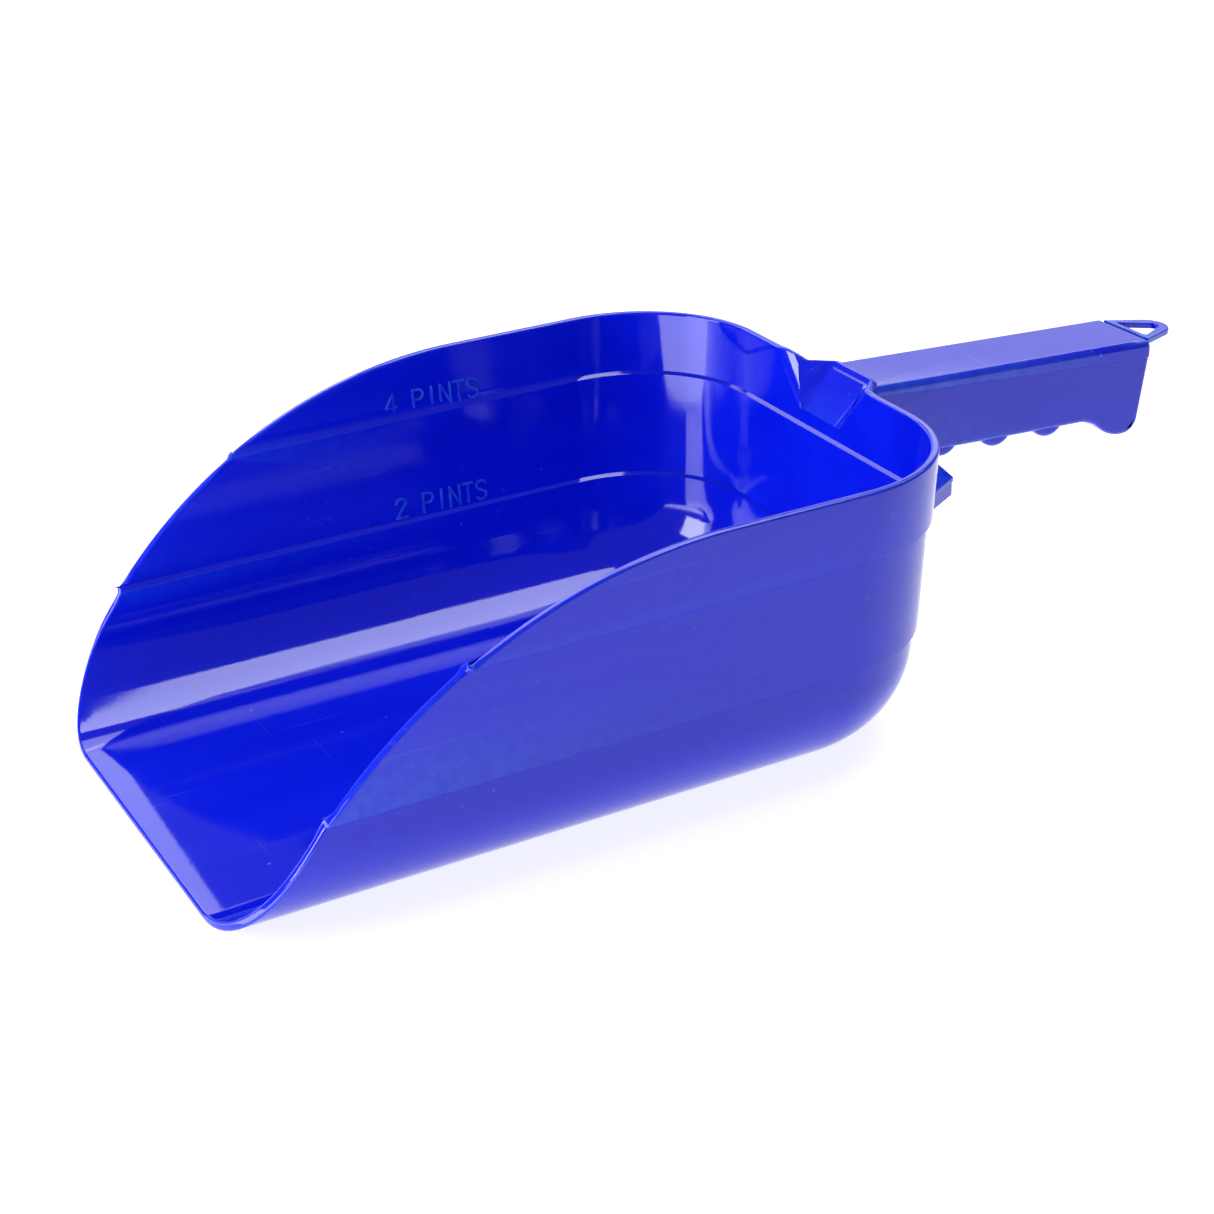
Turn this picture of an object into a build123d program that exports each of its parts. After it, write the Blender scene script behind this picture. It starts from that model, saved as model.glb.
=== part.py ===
from build123d import *
import os
from math import atan, atan2, cos, degrees, pi, radians, sin, tan

# A one-handed feed scoop, moulded in one piece from a glossy plastic.
# The frame: millimetres, +Z up, +X from the pouring lip towards the handle.
# The origin is on the flat underside, halfway along the bowl, on the line of symmetry.

# ---- Bowl ----
BOWL_LENGTH = 223.0        # lip edge to the outside of the rear wall, at the rim
BOWL_WIDTH = 167.4         # outside to outside, at the rim
BOWL_HEIGHT = 89.7         # underside to rim
WALL = 2.5
DRAFT = 0.05               # how far each wall leans out, per mm of height
LOWER_LEDGE_Z = 36.5       # inner ledge of the two pint mark
UPPER_LEDGE_Z = 70.0       # inner ledge of the four pint mark
LEDGE_STEP = 1.0           # how far the wall steps out at each ledge
OUTER_STEP_DROP = 1.0      # the outer step is this far below the inner ledge
CORNER_RADIUS = 42.0       # rear corners in plan, outside, at the rim
BELLY_RADIUS = 31.0        # outside radius between the floor and the walls

# ---- Pouring edge, in the side view ----
SWEEP_ANGLE = 57.0         # how steeply the side edge leaves the lip
SWEEP_RADIUS = 148.0       # the arc that brings it level with the rim

# ---- Pocket in the rear wall, over the handle's root ----
POCKET_MOUTH = 38.0        # width at the rear wall's inner face
POCKET_BACK = 16.0         # width at the back
POCKET_DEPTH = 11.0        # from the rear wall's inner face to the back, at the top
POCKET_RIM_DROP = 3.0      # the rim falls by this much towards the back
POCKET_FOOT = 17.0         # width at the foot

# ---- Handle ----
HANDLE_REACH = 113.2       # from the rear wall at the rim to the top of the end wall
HANDLE_WIDTH = 26.0
HANDLE_DEPTH = 24.0        # top face to underside
HANDLE_DROP = 3.0          # top face below the rim, at the rear wall
HANDLE_FALL = 0.056        # how far the top face falls, per mm of length
HANDLE_WALL = 3.0
HANDLE_EDGE = 2.6          # radius along the long edges and down the end wall
HANDLE_ROOT = 16.0         # solid stretch next to the rear wall
END_LEAN = 4.0             # the end wall's foot is this much nearer to the bowl
END_STOP_DEPTH = 6.0       # how far the end stop hangs below the underside
END_STOP_LENGTH = 9.5
END_STOP_RAMP = 9.0
END_STOP_RADIUS = 5.5

# ---- Finger ridges under the handle ----
RIDGE_COUNT = 3
RIDGE_FIRST = 34.9         # from the rear wall at the rim to the first ridge
RIDGE_PITCH = 20.2
RIDGE_RADIUS = 6.0
RIDGE_PROUD = 3.0
RIDGE_INSET = 1.2          # ridge ends short of the handle's sides
RIDGE_END_RADIUS = 2.4

# ---- Hanging loop ----
LOOP_RADIUS = 6.7
LOOP_THICKNESS = 2.0
LOOP_CENTRE = 9.0          # beyond the end wall's top
LOOP_HOLE_START = 2.0      # beyond the end wall's top
LOOP_HOLE_LENGTH = 10.8
LOOP_HOLE_WIDTH = 13.4
LOOP_HOLE_CORNER = 1.5
LOOP_HOLE_NOSE = 2.3

# ---- Stacking lugs on the rear wall ----
LUG_TOP_Z = 65.0
LUG_THICKNESS = 5.7
LUG_INNER_Y = 24.0
LUG_CORNER_Y = 39.0
LUG_OUTER_Y = 49.5
LUG_INNER_REACH = 20.3     # rear wall at the rim to the inner corner
LUG_OUTER_REACH = 17.6     # rear wall at the rim to the outer corner
LUG_LIP = 1.4              # height of the band round the top
LUG_LIP_STEP = 0.4         # how far the band stands proud

# ---- Capacity marks on the inside of the +Y wall ----
LETTER_HEIGHT = 6.2
LETTER_WIDTH = 3.3
LETTER_PITCH = 4.6
LETTER_STROKE = 0.75
LETTER_RELIEF = 0.35
LETTER_SINK = 0.3          # the strokes start inside the wall and are cut back to it
LETTERS_FROM_LIP = 114.5
LETTERS_ABOVE_LEDGE = 1.8

LIP_X = -BOWL_LENGTH / 2
REAR_X = BOWL_LENGTH / 2
END_X = REAR_X + HANDLE_REACH
ABOVE = 20.0               # how far cutting solids run past what they cut
DRAFT_ANGLE = degrees(atan(DRAFT))


def steps_above(z, ledges):
    """Count the ledges that are higher than z."""
    return sum(1 for ledge in ledges if z < ledge)


def wall_retreat(z, ledges):
    """How far a wall stands in from its place at the rim, at height z."""
    return DRAFT * (BOWL_HEIGHT - z) + LEDGE_STEP * steps_above(z, ledges)


def plan(z, ledges, inset):
    """The bowl's outline at height z, running on past the lip."""
    retreat = wall_retreat(z, ledges) + inset
    front = LIP_X - ABOVE
    length = REAR_X - retreat - front
    width = BOWL_WIDTH - 2 * retreat
    outline = Pos(front + length / 2, 0, z) * Rectangle(length, width)
    corners = outline.vertices().sort_by(Axis.X)[-2:]
    return fillet(corners, CORNER_RADIUS - retreat)


def layer(bottom_z, top_z, ledges, inset):
    """One drafted layer of the bowl between two heights."""
    level = plan(bottom_z, ledges, inset)
    return extrude(level, top_z - bottom_z, dir=(0, 0, 1), taper=-DRAFT_ANGLE)


def belly_edges(solid):
    """The edges round the foot of a layer: both sides, the corners and the rear."""
    foot = solid.edges().group_by(Axis.Z)[0]
    return foot.filter_by(lambda edge: edge.center().X > LIP_X - ABOVE + 1)


def bowl_form(floor_z, ledges, inset, top_z):
    """A closed form of the bowl, with its ledges and its rounded belly."""
    lower = layer(floor_z, ledges[0], ledges, inset)
    lower = fillet(belly_edges(lower), BELLY_RADIUS - inset)
    middle = layer(ledges[0], ledges[1], ledges, inset)
    upper = layer(ledges[1], top_z, ledges, inset)
    return lower + middle + upper


def outer_form():
    ledges = (LOWER_LEDGE_Z - OUTER_STEP_DROP, UPPER_LEDGE_Z - OUTER_STEP_DROP)
    return bowl_form(0, ledges, 0, BOWL_HEIGHT)


def inner_form():
    ledges = (LOWER_LEDGE_Z, UPPER_LEDGE_Z)
    return bowl_form(WALL, ledges, WALL, BOWL_HEIGHT + ABOVE)


def sweep_cut():
    """Everything ahead of the side edge, which runs up from the lip and levels out at the rim."""
    angle = radians(SWEEP_ANGLE)
    start_z = BOWL_HEIGHT - SWEEP_RADIUS * (1 - cos(angle))
    start_x = LIP_X + start_z / tan(angle)
    end_x = start_x + SWEEP_RADIUS * sin(angle)
    below_x = LIP_X - ABOVE / tan(angle)
    middle_x = end_x - SWEEP_RADIUS * sin(angle / 2)
    middle_z = BOWL_HEIGHT - SWEEP_RADIUS * (1 - cos(angle / 2))
    front_x = LIP_X - 2 * ABOVE
    top_z = BOWL_HEIGHT + 2 * ABOVE
    edge = Line((below_x, -ABOVE), (start_x, start_z))
    edge += ThreePointArc((start_x, start_z), (middle_x, middle_z), (end_x, BOWL_HEIGHT))
    rest = [(end_x, BOWL_HEIGHT), (end_x, top_z), (front_x, top_z), (front_x, -ABOVE), (below_x, -ABOVE)]
    profile = make_face(edge + Polyline(*rest))
    return extrude(Plane.XZ * profile, BOWL_WIDTH, both=True)


def handle_top(x):
    """Height of the handle's top face."""
    return BOWL_HEIGHT - HANDLE_DROP - HANDLE_FALL * (x - REAR_X)


def wedge(top, foot):
    """A closed form from a four-cornered top down to a two-cornered foot edge."""
    front_left, back_left, back_right, front_right = top
    foot_left, foot_right = foot
    faces = [
        [front_left, back_left, back_right, front_right],
        [front_left, foot_left, foot_right, front_right],
        [back_left, foot_left, foot_right, back_right],
        [front_left, back_left, foot_left],
        [front_right, back_right, foot_right],
    ]
    return Solid(Shell([Face(Wire.make_polygon(corners, close=True)) for corners in faces]))


def pocket_form(grow, top_rise):
    """The pocket's hollow, or with grow its outside, tapering back and down from the rim."""
    inner_x = REAR_X - WALL
    stretch = 1 + top_rise / (BOWL_HEIGHT - UPPER_LEDGE_Z)
    foot_x = inner_x - wall_retreat(UPPER_LEDGE_Z, ())
    foot_y = POCKET_FOOT / 2
    mouth_y = foot_y + (POCKET_MOUTH / 2 - foot_y) * stretch + grow
    back_y = foot_y + (POCKET_BACK / 2 - foot_y) * stretch + grow
    back_x = foot_x + (inner_x + POCKET_DEPTH - foot_x) * stretch + grow
    front_z = BOWL_HEIGHT + top_rise
    back_z = front_z - POCKET_RIM_DROP
    top = [(foot_x, mouth_y, front_z), (back_x, back_y, back_z),
           (back_x, -back_y, back_z), (foot_x, -mouth_y, front_z)]
    foot_z = UPPER_LEDGE_Z - grow
    foot = [(foot_x, foot_y + grow, foot_z), (foot_x, -foot_y - grow, foot_z)]
    return wedge(top, foot)


def build_bowl(outer, inner):
    shell = outer - inner
    shell -= pocket_form(0, ABOVE)
    return shell - sweep_cut()


def build_pocket(outer):
    """The housing behind the rear wall that closes the pocket."""
    return pocket_form(WALL, 0) - outer - pocket_form(0, ABOVE)


def handle_profile(reach_in):
    """The handle's side view, from inside the rear wall to the end wall."""
    start_x = REAR_X - reach_in
    foot_x = END_X - END_LEAN
    under_z = handle_top(END_X) - HANDLE_DEPTH
    stop_z = under_z - END_STOP_DEPTH
    ramp_x = foot_x - END_STOP_LENGTH - END_STOP_RAMP
    corners = [(start_x, handle_top(start_x)), (END_X, handle_top(END_X)), (foot_x, stop_z),
               (foot_x - END_STOP_LENGTH, stop_z), (ramp_x, handle_top(ramp_x) - HANDLE_DEPTH),
               (start_x, handle_top(start_x) - HANDLE_DEPTH)]
    return make_face(Polyline(*corners, close=True))


def handle_form():
    """The handle's outside, run on into the bowl, with every long edge rounded."""
    profile = handle_profile(ABOVE)
    lower = profile.vertices().sort_by(Axis.Y)[:2]
    profile = fillet(lower, END_STOP_RADIUS)
    solid = extrude(Plane.XZ * profile, HANDLE_WIDTH / 2, both=True)
    sides = solid.faces().sort_by(Axis.Y)
    edges = sides[0].edges() + sides[-1].edges()
    outside = edges.filter_by(lambda edge: edge.center().X > REAR_X - ABOVE + 1)
    return fillet(outside, HANDLE_EDGE)


def handle_core():
    """The sealed hollow that keeps the handle light."""
    start_x = REAR_X + HANDLE_ROOT
    end_x = END_X - END_LEAN - 2 * HANDLE_WALL
    corners = [(start_x, handle_top(start_x) - HANDLE_WALL), (end_x, handle_top(end_x) - HANDLE_WALL),
               (end_x, handle_top(end_x) - HANDLE_DEPTH + HANDLE_WALL),
               (start_x, handle_top(start_x) - HANDLE_DEPTH + HANDLE_WALL)]
    profile = make_face(Polyline(*corners, close=True))
    return extrude(Plane.XZ * profile, HANDLE_WIDTH / 2 - HANDLE_WALL, both=True)


def build_handle(handle_outside, outside):
    return handle_outside - handle_core() - outside


def build_ridges(handle_outside):
    """One finger ridge after another, each a round-ended bar across the underside."""
    ridges = []
    for index in range(RIDGE_COUNT):
        x = REAR_X + RIDGE_FIRST + index * RIDGE_PITCH
        z = handle_top(x) - HANDLE_DEPTH - RIDGE_PROUD + RIDGE_RADIUS
        bar = Cylinder(RIDGE_RADIUS, HANDLE_WIDTH - 2 * RIDGE_INSET, rotation=(90, 0, 0))
        bar = fillet(bar.edges().filter_by(GeomType.CIRCLE), RIDGE_END_RADIUS)
        ridges.append(Pos(x, 0, z) * bar - handle_outside)
    return ridges


def build_loop(handle_outside):
    """A flat plate with a rounded hole, which carries on from the handle's top face."""
    top_z = handle_top(END_X)
    centre_x = END_X + LOOP_CENTRE
    reach = Circle(LOOP_RADIUS).edges() + [
        edge.moved(Location((-LOOP_CENTRE - HANDLE_EDGE, 0)))
        for edge in Rectangle(HANDLE_EDGE, HANDLE_WIDTH - 2 * HANDLE_EDGE).edges()]
    plate = make_hull(reach)
    corner_y = LOOP_HOLE_WIDTH / 2 - LOOP_HOLE_CORNER
    near = Location((LOOP_HOLE_START - LOOP_CENTRE + LOOP_HOLE_CORNER, 0))
    nose = Location((LOOP_HOLE_START - LOOP_CENTRE + LOOP_HOLE_LENGTH - LOOP_HOLE_NOSE, 0))
    rounds = []
    for side in (1, -1):
        rounds += [edge.moved(near * Location((0, side * corner_y)))
                   for edge in Circle(LOOP_HOLE_CORNER).edges()]
    rounds += [edge.moved(nose) for edge in Circle(LOOP_HOLE_NOSE).edges()]
    plate -= make_hull(rounds)
    plate = extrude(plate, LOOP_THICKNESS, dir=(0, 0, -1))
    tilt = degrees(atan(HANDLE_FALL))
    return Pos(centre_x, 0, handle_top(centre_x)) * Rot(0, tilt, 0) * plate - handle_outside


def lug_outline(grow, side):
    """A lug's outline in plan, running into the rear wall."""
    inside_x = REAR_X - ABOVE
    corners = [(inside_x, LUG_INNER_Y - grow), (REAR_X + LUG_INNER_REACH + grow, LUG_INNER_Y - grow),
               (REAR_X + LUG_OUTER_REACH + grow, LUG_CORNER_Y + grow),
               (REAR_X - LEDGE_STEP, LUG_OUTER_Y + grow), (inside_x, LUG_OUTER_Y + grow)]
    return make_face(Polyline(*[(x, side * y) for x, y in corners], close=True))


def build_lug(outside, side):
    foot_z = LUG_TOP_Z - LUG_THICKNESS
    body = extrude(Pos(0, 0, foot_z) * lug_outline(0, side), LUG_THICKNESS - LUG_LIP, dir=(0, 0, 1))
    band = extrude(Pos(0, 0, LUG_TOP_Z - LUG_LIP) * lug_outline(LUG_LIP_STEP, side), LUG_LIP,
                   dir=(0, 0, 1))
    return body + band - outside


def letter_paths(letter):
    """A letter's strokes as runs of points, in a cell LETTER_WIDTH wide and LETTER_HEIGHT high."""
    w, h = LETTER_WIDTH, LETTER_HEIGHT
    r = h / 4
    bowl = [(w - r + r * sin(pi * k / 6), h - r + r * cos(pi * k / 6)) for k in range(7)]
    hook = [(w / 2 - w / 2 * cos(pi * k / 6), h - r + r * sin(pi * k / 6)) for k in range(7)]
    upper = [(w / 2 + w / 2 * sin(pi * k / 6), h - r + r * cos(pi * k / 6)) for k in range(2, -5, -1)]
    lower = [(w - x, h - y) for x, y in reversed(upper)]
    paths = {
        "P": [[(0, 0), (0, h)] + bowl + [(0, h - 2 * r)]],
        "I": [[(w / 2, 0), (w / 2, h)]],
        "N": [[(0, 0), (0, h), (w, 0), (w, h)]],
        "T": [[(0, h), (w, h)], [(w / 2, 0), (w / 2, h)]],
        "S": [upper + lower],
        "2": [hook + [(0, 0), (w, 0)]],
        "4": [[(w * 0.75, 0), (w * 0.75, h), (0, h / 3), (w, h / 3)]],
    }
    return paths[letter]


def stroke(start, end):
    """One straight stroke with round ends."""
    run = Vector(*end) - Vector(*start)
    turn = degrees(atan2(run.Y, run.X))
    middle = (Vector(*start) + Vector(*end)) / 2
    return Pos(middle.X, middle.Y) * Rot(0, 0, turn) * SlotCenterToCenter(run.length, LETTER_STROKE)


def build_mark(digit, ledge_z, bowl):
    """A row of raised letters on the inside of the +Y wall, just above a ledge."""
    base_z = ledge_z + LETTERS_ABOVE_LEDGE
    wall_y = BOWL_WIDTH / 2 - wall_retreat(base_z, (LOWER_LEDGE_Z, UPPER_LEDGE_Z)) - WALL
    face = Plane(origin=(LIP_X + LETTERS_FROM_LIP, wall_y, base_z), x_dir=(1, 0, 0), z_dir=(0, -1, DRAFT))
    solids = []
    for index, letter in enumerate(digit + " PINTS"):
        if letter == " ":
            continue
        shape = Sketch()
        for path in letter_paths(letter):
            shape += [stroke(start, end) for start, end in zip(path, path[1:])]
        raised = extrude(shape, LETTER_RELIEF) + extrude(shape, -LETTER_SINK)
        solids.append(face * Pos(index * LETTER_PITCH, 0, 0) * raised - bowl)
    return Compound(children=solids)


def main():
    os.makedirs("parts", exist_ok=True)
    outer = outer_form()
    inner = inner_form()
    outside = outer + pocket_form(WALL, 0)
    bowl = build_bowl(outer, inner)
    handle_outside = handle_form()
    nodes = {
        "bowl": bowl,
        "rear_pocket": build_pocket(outer),
        "handle": build_handle(handle_outside, outside),
        "hang_loop": build_loop(handle_outside),
        "stacking_lug_left": build_lug(outside, 1),
        "stacking_lug_right": build_lug(outside, -1),
        "mark_two_pints": build_mark("2", LOWER_LEDGE_Z, bowl),
        "mark_four_pints": build_mark("4", UPPER_LEDGE_Z, bowl),
    }
    for index, ridge in enumerate(build_ridges(handle_outside), start=1):
        nodes[f"finger_ridge_{index}"] = ridge
    for name, shape in nodes.items():
        export_step(shape, f"parts/{name}.step")


main()
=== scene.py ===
from math import atan, cos, pi, radians, sin, tan

import bmesh
import bpy
from mathutils import Matrix, Vector


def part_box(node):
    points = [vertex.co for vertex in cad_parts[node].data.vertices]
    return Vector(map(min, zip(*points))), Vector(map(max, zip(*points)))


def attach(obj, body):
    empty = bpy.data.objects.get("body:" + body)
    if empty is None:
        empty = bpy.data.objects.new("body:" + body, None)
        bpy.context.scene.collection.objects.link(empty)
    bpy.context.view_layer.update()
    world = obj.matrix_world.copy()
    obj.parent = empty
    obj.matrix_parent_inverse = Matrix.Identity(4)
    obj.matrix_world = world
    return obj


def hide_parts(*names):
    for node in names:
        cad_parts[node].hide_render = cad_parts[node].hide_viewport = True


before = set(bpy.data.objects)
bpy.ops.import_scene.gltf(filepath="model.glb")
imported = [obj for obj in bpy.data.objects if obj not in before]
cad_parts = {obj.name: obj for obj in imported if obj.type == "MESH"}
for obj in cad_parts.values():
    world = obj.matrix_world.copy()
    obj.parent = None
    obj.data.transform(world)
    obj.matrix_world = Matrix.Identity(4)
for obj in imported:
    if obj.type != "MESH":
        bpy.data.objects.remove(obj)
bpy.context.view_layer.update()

# A glossy blue feed scoop, moulded in one piece. All sizes are in metres.
# +X runs from the pouring lip towards the handle, +Z is up, and the flat underside is at zero.

# ---- Places taken from the frame ----
BOWL_LOW, BOWL_HIGH = (Vector(corner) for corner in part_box("bowl"))
LIP_X = BOWL_LOW.x
REAR_X = BOWL_HIGH.x
HALF_WIDTH = BOWL_HIGH.y
RIM_Z = BOWL_HIGH.z
HANDLE_HIGH = Vector(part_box("handle")[1])
LOOP_HIGH = Vector(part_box("hang_loop")[1])
LUG_LOW, LUG_HIGH = (Vector(corner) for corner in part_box("stacking_lug_left"))
RIDGES = ["finger_ridge_1", "finger_ridge_2", "finger_ridge_3"]
MARKS = ["mark_two_pints", "mark_four_pints"]

# ---- How closely places and directions have to agree ----
CLOSE = 1e-5
ROUGHLY = 1e-4
CUT_ROOM = 1e-6
FACING = 0.9
SHARP = radians(60)
SMOOTH_BELOW = radians(40)

# ---- Bowl ----
WALL = 0.0025
DRAFT = 0.05
OUTER_STEPS = (0.069, 0.0355)
STEP = 0.001
STEP_RISE = 0.0008
CORNER_RADIUS = 0.042
BELLY_RADIUS = 0.031
CORNER_SEGMENTS = 18
BELLY_SEGMENTS = 16
SWEEP_ANGLE = radians(57)
SWEEP_RADIUS = 0.148
SWEEP_SEGMENTS = 36
RUN_ON = 0.02
RIM_ROUND = 0.0008
RIM_SEGMENTS = 4
RIM_SHARP = radians(62)
LIP_SLOPE = 0.008
LIP_FALL = 0.0006

# ---- Pocket in the rear wall ----
POCKET_MOUTH = 0.0212
POCKET_BACK = 0.0102
POCKET_DEPTH = 0.0110
POCKET_DROP = 0.0034
POCKET_FOOT = 0.0085
POCKET_FOOT_Z = 0.0738
POCKET_SPREAD = 0.3
POCKET_CUTS = 22
MOUTH_EASE = 0.42
BACK_EASE = 0.16
DROP_SHARE = 0.4

# ---- The pocket's filling, cut out of the handle's root ----
PLUG_FRONT_X = 0.100
PLUG_BACK_X = REAR_X + 0.0099
PLUG_FOOT_X = 0.1093
PLUG_FOOT_Z = POCKET_FOOT_Z - 0.0004
PLUG_TOP_Z = 0.0920
PLUG_MIDDLE_Z = 0.08
PLUG_MOUTH = 0.0304
PLUG_BACK = 0.0092
PLUG_FOOT = 0.0168
PLUG_FOOT_BACK = 0.0090

# ---- Handle ----
HANDLE_START_X = REAR_X - 0.0028
HANDLE_END_X = HANDLE_HIGH.x
HANDLE_HALF = HANDLE_HIGH.y
HANDLE_FALL = 0.056
HANDLE_DROP = 0.003
HANDLE_DEPTH = 0.024
END_LEAN = 0.004
STOP_DEPTH = 0.006
STOP_LENGTH = 0.0095
STOP_RAMP = 0.009
STOP_ROUND = 0.0048
STOP_SEGMENTS = 8
RAMP_ROUND = 0.004
TOP_ROUND = 0.0022
SIDE_ROUND = 0.0019
EDGE_SEGMENTS = 6
TOP_FACING = 0.995
CAP_AT_BOWL = 0.0024
CAP_AT_END = 0.0050
CAP_STEP = 0.00035
CAP_STEP_RISE = 0.0003

# ---- Finger ridges ----
RIDGE_RADIUS = 0.006
RIDGE_PROUD = 0.003
RIDGE_HALF = 0.0118
RIDGE_END_ROUND = 0.0024
RIDGE_SIDES = 64
RIDGE_BURIED = 0.0008

# ---- Hanging loop ----
LOOP_BASE_HALF = 0.0108
LOOP_TIP_HALF = 0.0043
LOOP_ROUND = 0.0042
LOOP_SEGMENTS = 14
LOOP_THICKNESS = 0.002
HOLE_START = 0.002
HOLE_LENGTH = 0.0108
HOLE_BASE_HALF = 0.0072
HOLE_TIP_HALF = 0.0013
HOLE_ROUND = 0.0013
HOLE_SEGMENTS = 8
HOLE_OVERRUN = 0.01
LOOP_EDGE = 0.0004
FINE_SEGMENTS = 3

# ---- Stacking lugs ----
LUG_STEP = 0.0014
LUG_STEP_IN = 0.0004
LUG_EDGE = 0.0003
LUG_INNER_Y = 0.024
LUG_CORNER_Y = 0.039
LUG_CORNER_X = REAR_X + 0.0176
LUG_WALL_Y = 0.0495
LUG_BURIED = 0.004
LUG_SHARP = radians(25)

# ---- Plastic ----
IOR = 1.5
DEEP_BLUE = (0.001, 0.006, 0.56, 1)
BRIGHT_BLUE = (0.003, 0.014, 0.68, 1)
# Pale edge colour: partly wear, partly a painted highlight along outside edges
WORN_AND_HIGHLIT_EDGE_BLUE = (0.05, 0.22, 0.80, 1)
PALE_MARK = (0.35, 0.42, 0.85, 1)
FLOW_STRETCH = (5.0, 40.0, 40.0)
FLOW_STOPS = (0.3, 0.75)
EDGE_BEND = (0.52, 0.60)
WEAR_SCALE = 260.0
WEAR_PATCH = (0.35, 0.60)
WEAR_LEAST = 0.45
# How pale the edges get: partly wear, partly a painted highlight
EDGE_WEAR_AND_HIGHLIGHT_PALENESS = 0.55
WEAR_DULLNESS = 0.20
SCRATCHES = (((18.0, 900.0, 900.0), 0.35), ((700.0, 14.0, 700.0), -0.5))
SCRATCH_LINE = (0.70, 0.73)
SCRATCH_PATCH_SCALE = 22.0
SCRATCH_PATCH = (0.50, 0.62)
SCRATCH_PALENESS = 0.05
SCRATCH_DULLNESS = 0.08
SCRATCH_HEIGHT = -0.5
SPECK_SCALE = 150.0
SPECK_SIZE = (0.05, 0.09)
SPECK_PATCH_SCALE = 70.0
SPECK_PATCH = (0.60, 0.64)
SPECK_PALENESS = 0.22
GLOSS_SCALE = 55.0
GLOSS = (0.04, 0.10)
SKIN_SCALE = 900.0
SKIN_STRENGTH = 0.04
SKIN_DEPTH = 0.0002
MIX_FROM, MIX_OVER, MIX_RESULT = 6, 7, 2

# ---- Stage and lights ----
FLOOR_SIZE = 8
FLOOR_Z = -0.0002
FLOOR_GREY = (0.4, 0.4, 0.4, 1)
FLOOR_GLOW = 0.85
CARD_PLACE = (-0.36, -0.02, 0.0002)
CARD_SIZE = (0.46, 0.5, 1)
CARD_GREY = (0.8, 0.8, 0.8, 1)
CARD_GLOW = 4.0
WHITE = (1, 1, 1, 1)
WORLD_GLOW = 0.2
LIGHTS = (
    # name, place, what it points at, size, watts
    ("back_softbox", (0.46, 1.14, 1.22), (0.05, 0, 0.05), (1.9, 0.5), 8.5),
    ("top_softbox", (0.52, 0.12, 1.43), (0.05, 0.05, 0.02), (1.1, 0.62), 14),
    ("backdrop", (1.3, 3.0, 0.85), (0.1, 0, 0.05), (5.6, 1.5), 20),
    ("left_backdrop", (0.06, 1.6, 1.02), (-0.1, 0, 0), (0.5, 0.6), 2.2),
    ("right_backdrop", (2.85, 3.0, 1.75), (0.12, 0, 0.06), (1.4, 0.8), 4.5),
    ("front_softbox", (-1.3, 0.1, 0.45), (0.1, 0, 0.04), (0.8, 0.6), 18),
)

# ---- Camera ----
AIM = Vector((0.0399, 0, 0.0314))
CAMERA_DISTANCE = 0.7039
CAMERA_AZIMUTH = radians(-28.57)
CAMERA_ELEVATION = radians(25.77)
CAMERA_ROLL = radians(-1.607)
CAMERA_LENS = 71.07
CAMERA_SENSOR = 36
CAMERA_SHIFT = (-0.01334, -0.00349)
CAMERA_NEAREST = 0.01


def enter(piece):
    """Open one piece for editing."""
    bpy.ops.object.select_all(action="DESELECT")
    bpy.context.view_layer.objects.active = piece
    piece.select_set(True)
    bpy.ops.object.mode_set(mode="EDIT")


def leave():
    bpy.ops.object.mode_set(mode="OBJECT")


def middle(item):
    """The middle of a vertex, an edge or a face."""
    if isinstance(item, bmesh.types.BMVert):
        return item.co
    return sum((vert.co for vert in item.verts), Vector()) / len(item.verts)


def pick(kind, test):
    """Select only the vertices, edges or faces that pass a test."""
    bpy.ops.mesh.select_mode(type=kind)
    bpy.ops.mesh.select_all(action="DESELECT")
    data = bpy.context.edit_object.data
    mesh = bmesh.from_edit_mesh(data)
    items = {"VERT": mesh.verts, "EDGE": mesh.edges, "FACE": mesh.faces}[kind]
    for item in items:
        if test(item):
            item.select_set(True)
    mesh.select_flush_mode()
    bmesh.update_edit_mesh(data)


def near(a, b, room=CLOSE):
    return abs(a - b) < room


def scale_about(centre, factors):
    bpy.ops.transform.resize(value=factors, center_override=centre)


def move(offset):
    bpy.ops.transform.translate(value=offset)


def bevel(offset, segments, clamp=True):
    """Round what is selected."""
    bpy.ops.mesh.bevel(offset=offset, segments=segments, clamp_overlap=clamp)


def sharp(edge, angle=SHARP):
    """Whether an edge has two faces that meet at more than an angle."""
    return len(edge.link_faces) == 2 and edge.calc_face_angle() > angle


def block(name, low, high):
    """A box between two corners, with its place in its mesh."""
    bpy.ops.object.select_all(action="DESELECT")
    low, high = Vector(low), Vector(high)
    bpy.ops.mesh.primitive_cube_add(size=1, location=(low + high) / 2, scale=high - low)
    piece = bpy.context.object
    piece.name = name
    bpy.ops.object.transform_apply(location=True, rotation=True, scale=True)
    return piece


def cut_off(point, normal, fill=False):
    """Cut right through and throw away the side that the normal points to."""
    bpy.ops.mesh.select_all(action="SELECT")
    bpy.ops.mesh.bisect(plane_co=point, plane_no=Vector(normal).normalized(), threshold=CUT_ROOM,
                        clear_outer=True, use_fill=fill)


def cut_round(point, normal):
    """Add a line of edges where a plane crosses what is selected."""
    bpy.ops.mesh.bisect(plane_co=point, plane_no=Vector(normal).normalized(), threshold=CUT_ROOM)


def apply_modifier(piece, kind, **settings):
    bpy.ops.object.select_all(action="DESELECT")
    bpy.context.view_layer.objects.active = piece
    piece.select_set(True)
    modifier = piece.modifiers.new(kind.lower(), kind)
    for name, value in settings.items():
        setattr(modifier, name, value)
    bpy.ops.object.modifier_apply(modifier=modifier.name)


def smooth(piece):
    """Smooth shading that keeps large flat faces flat."""
    bpy.ops.object.select_all(action="DESELECT")
    bpy.context.view_layer.objects.active = piece
    piece.select_set(True)
    bpy.ops.object.shade_smooth_by_angle(angle=SMOOTH_BELOW)
    apply_modifier(piece, "WEIGHTED_NORMAL", weight=50, keep_sharp=True)


# ---- Bowl ----

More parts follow.
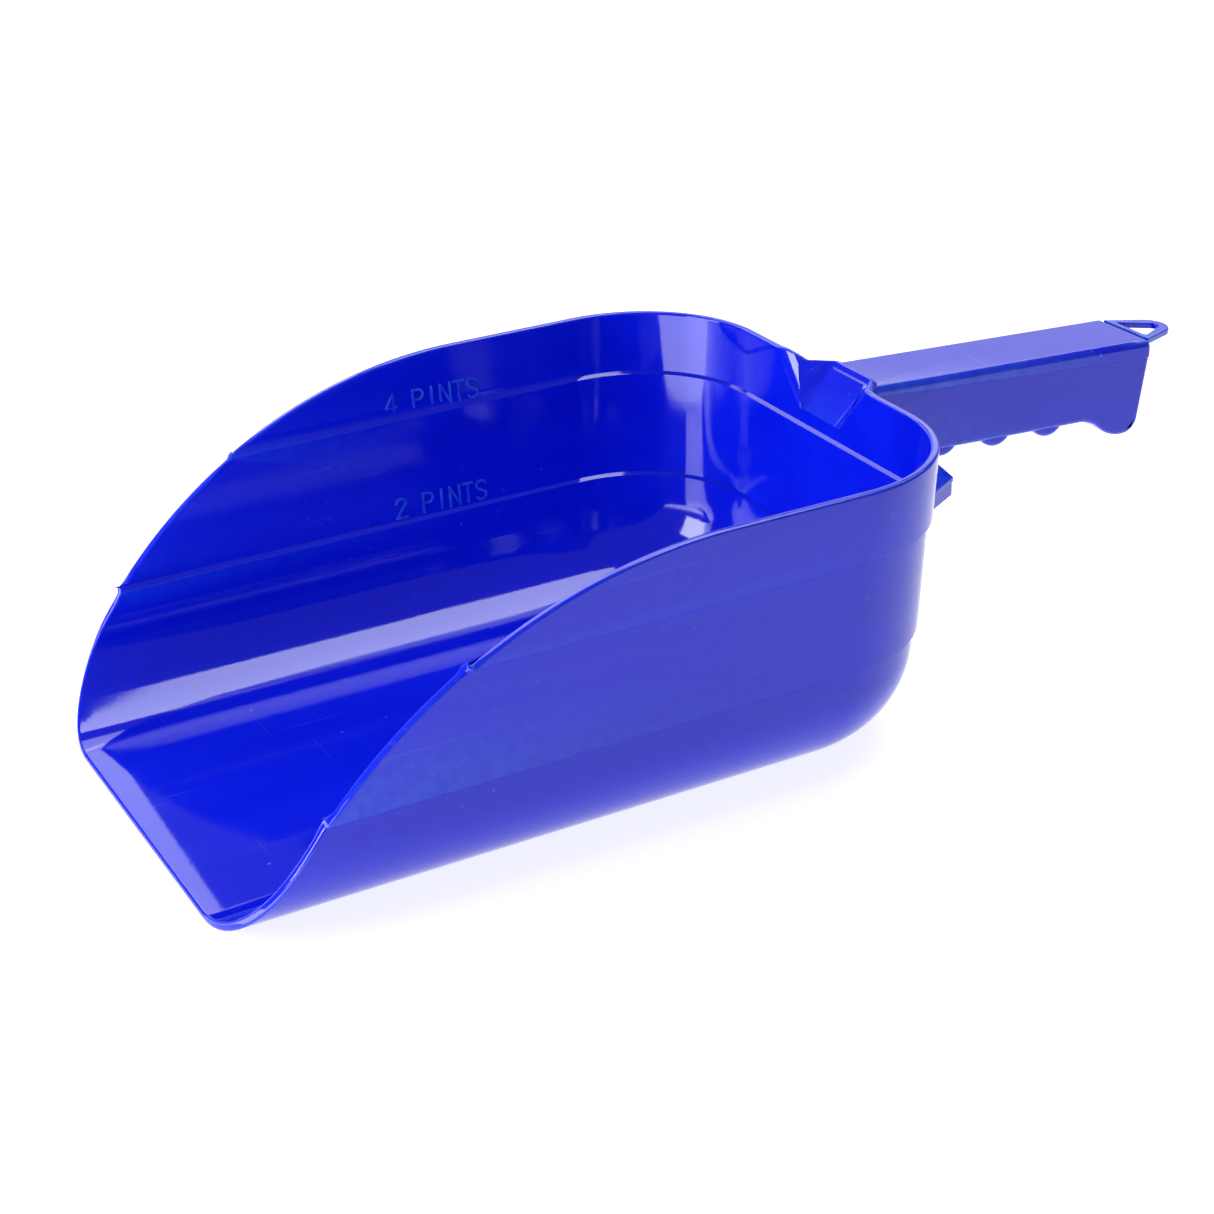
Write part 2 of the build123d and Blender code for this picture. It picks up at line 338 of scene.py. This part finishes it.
def shape_walls():
    """Round the corners, lean the walls, round the belly and open the top and front."""
    pick("EDGE", lambda e: all(near(v.co.x, REAR_X) for v in e.verts) and near(*[v.co.y for v in e.verts]))
    bevel(CORNER_RADIUS, CORNER_SEGMENTS, clamp=False)
    lean = DRAFT * RIM_Z
    length = REAR_X - LIP_X
    pick("VERT", lambda v: near(v.co.z, 0))
    scale_about((LIP_X, 0, 0), ((length - lean) / length, (HALF_WIDTH - lean) / HALF_WIDTH, 1))
    front_x = LIP_X - RUN_ON
    pick("EDGE", lambda e: all(near(v.co.z, 0) for v in e.verts) and middle(e).x > front_x + RUN_ON / 2)
    reach = BELLY_RADIUS * tan((pi / 2 - atan(DRAFT)) / 2)
    bevel(reach, BELLY_SEGMENTS, clamp=False)
    pick("FACE", lambda f: near(middle(f).z, RIM_Z) or f.normal.x < -FACING)
    bpy.ops.mesh.delete(type="FACE")


def shape_steps():
    """Step the wall in below each of its two ledges."""
    for step_z in OUTER_STEPS:
        for z in (step_z + STEP_RISE / 2, step_z - STEP_RISE / 2):
            bpy.ops.mesh.select_all(action="SELECT")
            cut_round((0, 0, z), (0, 0, 1))
        pick("VERT", lambda v: v.co.z < step_z - STEP_RISE / 2 + CLOSE)
        length = REAR_X - LIP_X
        scale_about((LIP_X, 0, 0), ((length - STEP) / length, (HALF_WIDTH - STEP) / HALF_WIDTH, 1))


def sweep_front():
    """Cut the side edge: straight up from the lip, then an arc that levels out at the rim."""
    arc_low_z = RIM_Z - SWEEP_RADIUS * (1 - cos(SWEEP_ANGLE))
    arc_end_x = LIP_X + arc_low_z / tan(SWEEP_ANGLE) + SWEEP_RADIUS * sin(SWEEP_ANGLE)
    points = [Vector((LIP_X, 0, 0))]
    for index in range(SWEEP_SEGMENTS + 1):
        angle = SWEEP_ANGLE * (1 - index / SWEEP_SEGMENTS)
        points.append(Vector((arc_end_x - SWEEP_RADIUS * sin(angle), 0,
                              RIM_Z - SWEEP_RADIUS * (1 - cos(angle)))))
    for start, end in zip(points, points[1:]):
        run = end - start
        cut_off(start, Vector((-run.z, 0, run.x)))


def pocket_share(y):
    """How deep the pocket is at y along the rim: 0 outside its mouth, 1 along its back."""
    s = (POCKET_MOUTH - abs(y)) / (POCKET_MOUTH - POCKET_BACK)
    if s <= -MOUTH_EASE:
        return 0
    if s < MOUTH_EASE:
        return (s + MOUTH_EASE) ** 2 / (4 * MOUTH_EASE)
    if s <= 1 - BACK_EASE:
        return s
    if s < 1 + BACK_EASE:
        return 1 - (1 + BACK_EASE - s) ** 2 / (4 * BACK_EASE)
    return 1


def pocket_foot(y):
    """Where a line down the pocket from y at the rim meets the pocket's foot."""
    if abs(y) <= POCKET_BACK:
        return y * POCKET_FOOT / POCKET_BACK
    foot = POCKET_FOOT + (abs(y) - POCKET_BACK) * POCKET_SPREAD
    return foot if y > 0 else -foot


def shape_pocket():
    """Press a tapering pocket back into the rear wall, from just above the upper ledge to the rim."""
    bpy.ops.mesh.select_all(action="SELECT")
    cut_round((0, 0, POCKET_FOOT_Z), (0, 0, 1))
    reach = POCKET_MOUTH + MOUTH_EASE * (POCKET_MOUTH - POCKET_BACK)
    back = POCKET_BACK - BACK_EASE * (POCKET_MOUTH - POCKET_BACK)
    for side in (1, -1):
        for index in range(POCKET_CUTS + 1):
            y = side * (back + (reach - back) * index / POCKET_CUTS)
            top = Vector((REAR_X, y, RIM_Z))
            foot = Vector((REAR_X, pocket_foot(y), POCKET_FOOT_Z))
            run = top - foot
            pick("FACE", lambda f: near(f.normal.y, 0) and f.normal.x > FACING
                 and middle(f).z > POCKET_FOOT_Z)
            cut_round(foot, (0, run.z, -run.y))
    data = bpy.context.edit_object.data
    tops = sorted({round(v.co.y, 7) for v in bmesh.from_edit_mesh(data).verts
                   if near(v.co.z, RIM_Z) and near(v.co.x, REAR_X) and pocket_share(v.co.y) > 0})
    for y in tops:
        share = pocket_share(y)
        level = min(share / DROP_SHARE, 1)
        drop = POCKET_DROP * level * level * (3 - 2 * level)
        pick("VERT", lambda v: near(v.co.y, y, 2e-6) and near(v.co.z, RIM_Z) and near(v.co.x, REAR_X))
        move((POCKET_DEPTH * share, 0, -drop))


def round_rim():
    """Round both edges of the wall, along the rim and the pouring edge."""
    bpy.ops.mesh.select_mode(type="EDGE")
    bpy.ops.mesh.select_all(action="DESELECT")
    bpy.ops.mesh.edges_select_sharp(sharpness=RIM_SHARP)
    bevel(RIM_ROUND, RIM_SEGMENTS, clamp=False)


def thin_lip():
    """Slope the floor's last stretch down to the pouring lip."""
    bpy.ops.mesh.select_all(action="SELECT")
    cut_round((LIP_X + LIP_SLOPE, 0, 0), (1, 0, 0))
    pick("VERT", lambda v: near(v.co.x, LIP_X, 3 * ROUGHLY) and near(v.co.z, WALL, ROUGHLY))
    move((0, 0, -LIP_FALL))


def make_bowl():
    piece = block("bowl_shell", (LIP_X - RUN_ON, -HALF_WIDTH, 0), (REAR_X, HALF_WIDTH, RIM_Z))
    enter(piece)
    shape_walls()
    shape_steps()
    sweep_front()
    shape_pocket()
    bpy.ops.mesh.select_all(action="SELECT")
    bpy.ops.mesh.remove_doubles(threshold=CLOSE)
    leave()
    apply_modifier(piece, "SOLIDIFY", thickness=WALL, offset=-1, use_even_offset=True)
    enter(piece)
    thin_lip()
    round_rim()
    leave()
    smooth(piece)
    return piece


# ---- Handle ----

def handle_top(x):
    return RIM_Z - HANDLE_DROP - HANDLE_FALL * (x - REAR_X)


def across(x, z):
    """A test for the edges that run across the handle at one place in its side view."""
    return lambda e: all(near(v.co.x, x, ROUGHLY) and near(v.co.z, z, ROUGHLY) for v in e.verts)


def pocket_plug():
    """A solid that fills the pocket up to the middle of its wall."""
    piece = block("pocket_plug", (PLUG_FRONT_X, -PLUG_MOUTH, PLUG_FOOT_Z),
                  (PLUG_BACK_X, PLUG_MOUTH, PLUG_TOP_Z))
    enter(piece)
    pick("VERT", lambda v: near(v.co.x, PLUG_BACK_X) and v.co.z > PLUG_MIDDLE_Z)
    scale_about((0, 0, 0), (1, PLUG_BACK / PLUG_MOUTH, 1))
    pick("VERT", lambda v: v.co.z < PLUG_MIDDLE_Z)
    scale_about((0, 0, 0), (1, PLUG_FOOT / PLUG_MOUTH, 1))
    pick("VERT", lambda v: near(v.co.x, PLUG_BACK_X) and v.co.z < PLUG_MIDDLE_Z)
    scale_about((0, 0, 0), (1, PLUG_FOOT_BACK / PLUG_FOOT, 1))
    move((PLUG_FOOT_X - PLUG_BACK_X, 0, 0))
    leave()
    return piece


def subtract(piece, tool):
    """Cut a tool's shape out of a piece, and put the tool away."""
    apply_modifier(piece, "BOOLEAN", operation="DIFFERENCE", solver="EXACT", object=tool)
    bpy.data.objects.remove(tool)


def make_handle():
    high_z = handle_top(HANDLE_START_X)
    piece = block("grip", (HANDLE_START_X, -HANDLE_HALF, high_z - HANDLE_DEPTH),
                  (HANDLE_END_X, HANDLE_HALF, high_z))
    enter(piece)
    pick("VERT", lambda v: near(v.co.x, HANDLE_END_X))
    move((0, 0, -HANDLE_FALL * (HANDLE_END_X - HANDLE_START_X)))
    foot_x = HANDLE_END_X - END_LEAN
    stop_x = foot_x - STOP_LENGTH
    ramp_x = stop_x - STOP_RAMP
    for x in (ramp_x, stop_x):
        bpy.ops.mesh.select_all(action="SELECT")
        cut_round((x, 0, 0), (1, 0, 0))
    stop_z = handle_top(HANDLE_END_X) - HANDLE_DEPTH - STOP_DEPTH
    for x in (stop_x, HANDLE_END_X):
        under_z = handle_top(x) - HANDLE_DEPTH
        pick("VERT", lambda v: near(v.co.x, x) and near(v.co.z, under_z))
        move((0, 0, stop_z - under_z))
    cap_run = Vector((HANDLE_END_X - REAR_X, 0,
                      handle_top(HANDLE_END_X) - CAP_AT_END - handle_top(REAR_X) + CAP_AT_BOWL))
    cap_normal = Vector((-cap_run.z, 0, cap_run.x)).normalized()
    cap_point = Vector((HANDLE_END_X, 0, handle_top(HANDLE_END_X) - CAP_AT_END))
    bpy.ops.mesh.select_all(action="SELECT")
    cut_round(cap_point, cap_normal)
    pick("VERT", lambda v: near(v.co.x, HANDLE_END_X) and near(v.co.z, stop_z))
    move((-END_LEAN, 0, 0))
    pick("EDGE", lambda e: all(near(abs(v.co.y), HANDLE_HALF) and near(v.co.z, handle_top(v.co.x), ROUGHLY)
                               for v in e.verts))
    bevel(TOP_ROUND, EDGE_SEGMENTS)
    pick("EDGE", across(foot_x, stop_z))
    bevel(STOP_ROUND, STOP_SEGMENTS)
    pick("EDGE", across(stop_x, stop_z))
    bevel(RAMP_ROUND, EDGE_SEGMENTS)
    pick("EDGE", across(ramp_x, handle_top(ramp_x) - HANDLE_DEPTH))
    bevel(RAMP_ROUND, EDGE_SEGMENTS)
    pick("EDGE", lambda e: sharp(e) and middle(e).x > HANDLE_START_X + ROUGHLY
         and all(f.normal.z < TOP_FACING for f in e.link_faces))
    bevel(SIDE_ROUND, EDGE_SEGMENTS, clamp=False)
    for drop in (CAP_STEP_RISE, 2 * CAP_STEP_RISE):
        bpy.ops.mesh.select_all(action="SELECT")
        cut_round(cap_point - cap_normal * drop, cap_normal)
    low = cap_point - cap_normal * 2 * CAP_STEP_RISE
    pick("VERT", lambda v: (v.co - low).dot(cap_normal) < CUT_ROOM)
    scale_about((0, 0, 0), (1, 1 - CAP_STEP / HANDLE_HALF, 1))
    leave()
    subtract(piece, pocket_plug())
    smooth(piece)
    return piece


def make_ridge(node):
    """One rounded bar across the underside, cut off flat just inside the handle."""
    low, high = (Vector(corner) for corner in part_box(node))
    x = (low.x + high.x) / 2
    bpy.ops.object.select_all(action="DESELECT")
    bpy.ops.mesh.primitive_cylinder_add(
        vertices=RIDGE_SIDES, radius=RIDGE_RADIUS, depth=2 * RIDGE_HALF, rotation=(pi / 2, 0, 0),
        location=(x, 0, handle_top(x) - HANDLE_DEPTH - RIDGE_PROUD + RIDGE_RADIUS))
    piece = bpy.context.object
    piece.name = "ridge_" + node[-1]
    bpy.ops.object.transform_apply(location=True, rotation=True, scale=True)
    enter(piece)
    pick("EDGE", sharp)
    bevel(RIDGE_END_ROUND, EDGE_SEGMENTS)
    cut_off((x, 0, handle_top(x) - HANDLE_DEPTH + RIDGE_BURIED), (HANDLE_FALL, 0, 1), fill=True)
    leave()
    smooth(piece)
    return piece


def make_loop():
    """A flat tapered plate with a round nose and a rounded three-cornered hole."""
    top_z = handle_top(HANDLE_END_X)
    tip_x = LOOP_HIGH.x
    piece = block("loop_plate", (HANDLE_END_X, -LOOP_BASE_HALF, top_z - LOOP_THICKNESS),
                  (tip_x, LOOP_BASE_HALF, top_z))
    enter(piece)
    pick("VERT", lambda v: near(v.co.x, tip_x))
    scale_about((0, 0, 0), (1, LOOP_TIP_HALF / LOOP_BASE_HALF, 1))
    pick("EDGE", lambda e: all(near(v.co.x, tip_x) for v in e.verts) and near(*[v.co.y for v in e.verts]))
    bevel(LOOP_ROUND, LOOP_SEGMENTS)
    leave()
    hole_x = HANDLE_END_X + HOLE_START
    hole = block("loop_hole", (hole_x, -HOLE_BASE_HALF, top_z - HOLE_OVERRUN),
                 (hole_x + HOLE_LENGTH, HOLE_BASE_HALF, top_z + HOLE_OVERRUN))
    enter(hole)
    pick("VERT", lambda v: near(v.co.x, hole_x + HOLE_LENGTH))
    scale_about((0, 0, 0), (1, HOLE_TIP_HALF / HOLE_BASE_HALF, 1))
    pick("EDGE", lambda e: near(*[v.co.x for v in e.verts]) and near(*[v.co.y for v in e.verts]))
    bevel(HOLE_ROUND, HOLE_SEGMENTS)
    leave()
    subtract(piece, hole)
    enter(piece)
    pick("EDGE", lambda e: sharp(e) and near(*[v.co.z for v in e.verts])
         and middle(e).x > HANDLE_END_X + ROUGHLY)
    bevel(LOOP_EDGE, FINE_SEGMENTS)
    bpy.ops.mesh.select_all(action="SELECT")
    bpy.ops.transform.rotate(value=-atan(HANDLE_FALL), orient_axis="Y",
                             center_override=(HANDLE_END_X, 0, top_z))
    leave()
    smooth(piece)
    return piece


def make_lug(node, side):
    """A flat lug behind the rear wall, with a shallow band round its top."""
    inside_x = REAR_X - LUG_BURIED
    low_y, high_y = sorted((side * LUG_INNER_Y, side * LUG_WALL_Y))
    piece = block(node.replace("stacking_", "") + "_shell", (inside_x, low_y, LUG_LOW.z),
                  (LUG_HIGH.x, high_y, LUG_HIGH.z))
    enter(piece)
    outline = [Vector((LUG_HIGH.x, side * LUG_INNER_Y, 0)), Vector((LUG_CORNER_X, side * LUG_CORNER_Y, 0)),
               Vector((REAR_X - STEP, side * LUG_WALL_Y, 0))]
    for start, end in zip(outline, outline[1:]):
        run = end - start
        cut_off(start, (side * run.y, -side * run.x, 0), fill=True)
    for z in (LUG_HIGH.z - LUG_STEP, LUG_HIGH.z - LUG_STEP - LUG_STEP_IN / 2):
        bpy.ops.mesh.select_all(action="SELECT")
        cut_round((0, 0, z), (0, 0, 1))
    pick("VERT", lambda v: v.co.z < LUG_HIGH.z - LUG_STEP - CLOSE)
    length = LUG_HIGH.x - inside_x
    width = LUG_WALL_Y - LUG_INNER_Y
    scale_about((inside_x, side * (LUG_INNER_Y + width / 2), 0),
                ((length - LUG_STEP_IN) / length, (width - 2 * LUG_STEP_IN) / width, 1))
    pick("EDGE", lambda e: sharp(e, LUG_SHARP) and middle(e).x > inside_x + ROUGHLY)
    bevel(LUG_EDGE, FINE_SEGMENTS)
    leave()
    smooth(piece)
    return piece


# ---- Finish ----

def add_node(tree, kind, **settings):
    node = tree.nodes.new(kind)
    for name, value in settings.items():
        if name in node.inputs:
            node.inputs[name].default_value = value
        else:
            setattr(node, name, value)
    return node


def noise(tree, place, scale, detail=2.0):
    """A noise texture laid over the object, as its strength alone."""
    texture = add_node(tree, "ShaderNodeTexNoise", Scale=scale, Detail=detail)
    tree.links.new(place, texture.inputs["Vector"])
    return texture.outputs["Fac"]


def stretch(tree, place, factors, turn=0.0):
    """The same place, drawn out along one direction."""
    mapping = add_node(tree, "ShaderNodeMapping", Scale=factors, Rotation=(0.0, 0.0, turn))
    tree.links.new(place, mapping.inputs["Vector"])
    return mapping.outputs["Vector"]


def remap(tree, value, span, onto=(0.0, 1.0)):
    """Turn one span of values into another, held at both ends."""
    node = add_node(tree, "ShaderNodeMapRange")
    for name, setting in zip(("From Min", "From Max", "To Min", "To Max"), span + onto):
        node.inputs[name].default_value = setting
    tree.links.new(value, node.inputs["Value"])
    return node.outputs["Result"]


def combine(tree, how, first, second):
    """Two values joined by one sum."""
    node = add_node(tree, "ShaderNodeMath", operation=how)
    for socket, value in zip(node.inputs, (first, second)):
        if isinstance(value, float):
            socket.default_value = value
        else:
            tree.links.new(value, socket)
    return node.outputs["Value"]


def blend(tree, amount, colour, over):
    """Lay one plain colour over another by an amount."""
    node = add_node(tree, "ShaderNodeMix", data_type="RGBA")
    tree.links.new(amount, node.inputs["Factor"])
    tree.links.new(colour, node.inputs[MIX_FROM])
    node.inputs[MIX_OVER].default_value = over
    return node.outputs[MIX_RESULT]


def worn_and_highlit_edges(tree, place):
    """How pale each place is, from edge wear and a painted highlight: strongest along outside edges,
    broken up by noise.
    """
    shape = add_node(tree, "ShaderNodeNewGeometry")
    edge = remap(tree, shape.outputs["Pointiness"], EDGE_BEND)
    patches = remap(tree, noise(tree, place, WEAR_SCALE, 4.0), WEAR_PATCH, (WEAR_LEAST, 1.0))
    return combine(tree, "MULTIPLY", edge, patches)


def hairlines(tree, place):
    """Fine scratches in two directions, in patches."""
    lines = None
    for factors, turn in SCRATCHES:
        drawn = noise(tree, stretch(tree, place, factors, turn), 1.0, 1.0)
        line = remap(tree, drawn, SCRATCH_LINE)
        lines = line if lines is None else combine(tree, "MAXIMUM", lines, line)
    patches = remap(tree, noise(tree, place, SCRATCH_PATCH_SCALE), SCRATCH_PATCH)
    return combine(tree, "MULTIPLY", lines, patches)


def specks(tree, place):
    """Small pale specks, few and far between."""
    cells = add_node(tree, "ShaderNodeTexVoronoi", Scale=SPECK_SCALE)
    tree.links.new(place, cells.inputs["Vector"])
    dot = remap(tree, cells.outputs["Distance"], SPECK_SIZE, (1.0, 0.0))
    few = remap(tree, noise(tree, place, SPECK_PATCH_SCALE), SPECK_PATCH)
    return combine(tree, "MULTIPLY", dot, few)


def moulded_plastic(name):
    """Glossy pigmented plastic: flow marks, fine skin, hairline scratches, specks and pale edges that are
    partly wear and partly a painted highlight.
    """
    material = bpy.data.materials.new(name)
    material.use_nodes = True
    tree = material.node_tree
    link = tree.links.new
    shader = tree.nodes["Principled BSDF"]
    shader.inputs["IOR"].default_value = IOR
    place = add_node(tree, "ShaderNodeTexCoord").outputs["Object"]
    flow = noise(tree, stretch(tree, place, FLOW_STRETCH), 1.0, 3.0)
    colour = add_node(tree, "ShaderNodeValToRGB")
    for element, position, shade in zip(colour.color_ramp.elements, FLOW_STOPS, (DEEP_BLUE, BRIGHT_BLUE)):
        element.position = position
        element.color = shade
    link(flow, colour.inputs["Fac"])
    edge_wear_and_highlight = worn_and_highlit_edges(tree, place)
    scratch = hairlines(tree, place)
    speck = specks(tree, place)
    marks = combine(tree, "MAXIMUM", combine(tree, "MULTIPLY", scratch, SCRATCH_PALENESS),
                    combine(tree, "MULTIPLY", speck, SPECK_PALENESS))
    # Pale edge colour over the blue: partly edge wear, partly a painted highlight along outside edges
    worn_and_highlit_colour = blend(tree, combine(tree, "MULTIPLY", edge_wear_and_highlight, EDGE_WEAR_AND_HIGHLIGHT_PALENESS), colour.outputs["Color"], WORN_AND_HIGHLIT_EDGE_BLUE)
    link(blend(tree, marks, worn_and_highlit_colour, PALE_MARK), shader.inputs["Base Color"])
    gloss = remap(tree, noise(tree, place, GLOSS_SCALE, 4.0), (0.0, 1.0), GLOSS)
    dull = combine(tree, "ADD", combine(tree, "MULTIPLY", edge_wear_and_highlight, WEAR_DULLNESS),
                   combine(tree, "MULTIPLY", scratch, SCRATCH_DULLNESS))
    link(combine(tree, "ADD", gloss, dull), shader.inputs["Roughness"])
    skin = noise(tree, place, SKIN_SCALE)
    cut = combine(tree, "MULTIPLY", scratch, SCRATCH_HEIGHT)
    bump = add_node(tree, "ShaderNodeBump", Strength=SKIN_STRENGTH, Distance=SKIN_DEPTH)
    link(combine(tree, "ADD", skin, cut), bump.inputs["Height"])
    link(bump.outputs["Normal"], shader.inputs["Normal"])
    return material


# ---- Stage ----

def make_floor():
    bpy.ops.object.select_all(action="DESELECT")
    bpy.ops.mesh.primitive_plane_add(size=FLOOR_SIZE, location=(0, 0, FLOOR_Z))
    floor = bpy.context.object
    floor.name = "floor"
    material = bpy.data.materials.new("pale_floor")
    material.use_nodes = True
    shader = material.node_tree.nodes["Principled BSDF"]
    shader.inputs["Base Color"].default_value = FLOOR_GREY
    shader.inputs["Roughness"].default_value = 0.9
    shader.inputs["Specular IOR Level"].default_value = 0
    shader.inputs["Emission Color"].default_value = WHITE
    shader.inputs["Emission Strength"].default_value = FLOOR_GLOW
    floor.data.materials.append(material)


def make_card():
    """A bright card on the table in front of the lip."""
    bpy.ops.object.select_all(action="DESELECT")
    bpy.ops.mesh.primitive_plane_add(size=1, location=CARD_PLACE)
    card = bpy.context.object
    card.name = "front_card"
    card.scale = CARD_SIZE
    bpy.ops.object.transform_apply(location=True, rotation=True, scale=True)
    material = bpy.data.materials.new("bright_card")
    material.use_nodes = True
    shader = material.node_tree.nodes["Principled BSDF"]
    shader.inputs["Base Color"].default_value = CARD_GREY
    shader.inputs["Emission Color"].default_value = WHITE
    shader.inputs["Emission Strength"].default_value = CARD_GLOW
    card.data.materials.append(material)


def make_light(name, place, target, size, power):
    light = bpy.data.lights.new(name, "AREA")
    light.shape = "RECTANGLE"
    light.size, light.size_y = size
    light.energy = power
    lamp = bpy.data.objects.new(name, light)
    lamp.location = place
    lamp.rotation_euler = (Vector(target) - Vector(place)).to_track_quat("-Z", "Y").to_euler()
    bpy.context.collection.objects.link(lamp)


def make_world():
    world = bpy.data.worlds.new("studio")
    world.use_nodes = True
    background = world.node_tree.nodes["Background"]
    background.inputs["Color"].default_value = WHITE
    background.inputs["Strength"].default_value = WORLD_GLOW
    bpy.context.scene.world = world


def make_camera():
    camera = bpy.data.cameras.new("camera")
    camera.lens = CAMERA_LENS
    camera.sensor_width = CAMERA_SENSOR
    camera.shift_x, camera.shift_y = CAMERA_SHIFT
    camera.clip_start = CAMERA_NEAREST
    holder = bpy.data.objects.new("camera", camera)
    turn = (Matrix.Rotation(CAMERA_AZIMUTH, 4, "Z") @ Matrix.Rotation(pi / 2 - CAMERA_ELEVATION, 4, "X")
            @ Matrix.Rotation(CAMERA_ROLL, 4, "Z"))
    holder.matrix_world = Matrix.Translation(AIM) @ turn @ Matrix.Translation((0, 0, CAMERA_DISTANCE))
    bpy.context.collection.objects.link(holder)
    bpy.context.scene.camera = holder


def fit(piece, material, *nodes):
    """Give a piece its finish, and have it stand for its nodes."""
    piece.data.materials.clear()
    piece.data.materials.append(material)
    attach(piece, "root")
    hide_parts(*nodes)


def main():
    plastic = moulded_plastic("glossy_blue_plastic")
    fit(make_bowl(), plastic, "bowl", "rear_pocket")
    fit(make_handle(), plastic, "handle")
    for node in RIDGES:
        fit(make_ridge(node), plastic, node)
    fit(make_loop(), plastic, "hang_loop")
    fit(make_lug("stacking_lug_left", 1), plastic, "stacking_lug_left")
    fit(make_lug("stacking_lug_right", -1), plastic, "stacking_lug_right")
    for name in MARKS:
        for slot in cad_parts[name].material_slots:
            slot.material = plastic
    make_floor()
    make_world()
    for light in LIGHTS:
        make_light(*light)
    make_card()
    make_camera()
    bpy.context.scene.view_settings.view_transform = "Standard"


main()
